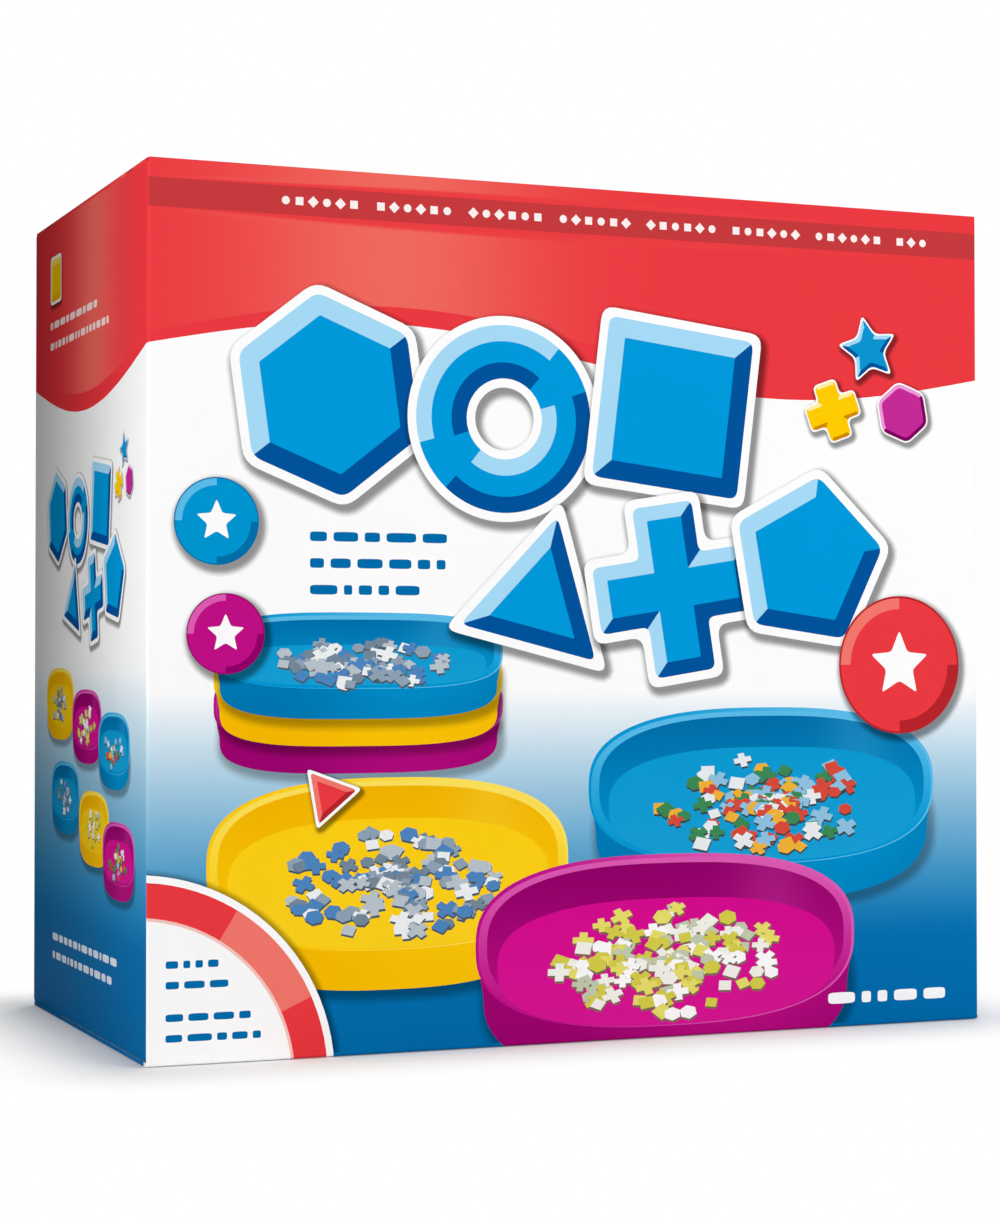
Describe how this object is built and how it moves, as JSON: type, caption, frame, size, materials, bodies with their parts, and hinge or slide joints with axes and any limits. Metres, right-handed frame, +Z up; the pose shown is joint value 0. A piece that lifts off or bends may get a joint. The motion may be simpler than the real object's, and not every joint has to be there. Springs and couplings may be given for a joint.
{
  "type": "boxed puzzle sorting trays",
  "caption": "Printed folding carton with a tuck-in hinged lid and dust flaps, holding nested jigsaw-shaped plastic sorting trays that stack and interlock",
  "frame": {"origin": "centre of the carton's bottom face", "axes": "+Z up, -Y out of the front panel, +X to the right when looking at the front panel"},
  "size_m": [0.282, 0.1532, 0.266],
  "materials": {
    "printed_board": "gloss laminated print",
    "plain_board": "uncoated white board",
    "blue_plastic": "gloss",
    "yellow_plastic": "gloss",
    "magenta_plastic": "gloss"
  },
  "bodies": {
    "carton": {"front_panel": "printed_board", "back_panel": "printed_board", "left_panel": "printed_board", "right_panel": "printed_board", "glue_flap": "plain_board", "bottom_panel": "printed_board", "bottom_back_flap": "plain_board", "bottom_left_flap": "plain_board", "bottom_right_flap": "plain_board"},
    "lid": {"lid_panel": "printed_board"},
    "tuck": {"tuck_flap": "printed_board"},
    "dust_left": {"dust_flap_left": "plain_board"},
    "dust_right": {"dust_flap_right": "plain_board"},
    "tray_stack": {"tray_1": "blue_plastic", "tray_2": "yellow_plastic", "tray_3": "magenta_plastic", "tray_4": "blue_plastic", "tray_5": "yellow_plastic", "tray_6": "magenta_plastic"}
  },
  "joints": [
    {"name": "lid_hinge", "type": "hinge", "parent": "carton", "child": "lid", "pos_m": [0, 0.07659, 0.26604], "axis": [-1, 0, 0], "range_deg": [0, 255]},
    {"name": "tuck_crease", "type": "hinge", "parent": "lid", "child": "tuck", "pos_m": [0, -0.07509, 0.26604], "axis": [-1, 0, 0], "range_deg": [0, 76.5]},
    {"name": "dust_left_crease", "type": "hinge", "parent": "carton", "child": "dust_left", "pos_m": [-0.14102, 0, 0.26484], "axis": [0, -1, 0], "range_deg": [0, 198.9]},
    {"name": "dust_right_crease", "type": "hinge", "parent": "carton", "child": "dust_right", "pos_m": [0.14102, 0, 0.26484], "axis": [0, 1, 0], "range_deg": [0, 198.9]},
    {"name": "stack_lift", "type": "slide", "parent": "carton", "child": "tray_stack", "axis": [0, 0, 1], "range_m": [0, 0.1603]}
  ],
  "couplings": [
    {"joint": "tuck_crease", "follows": "lid_hinge", "ratio": 0.3},
    {"joint": "dust_left_crease", "follows": "lid_hinge", "ratio": 0.78},
    {"joint": "dust_right_crease", "follows": "lid_hinge", "ratio": 0.78},
    {"joint": "stack_lift", "follows": "lid_hinge", "m_per_rad": 0.036}
  ]
}
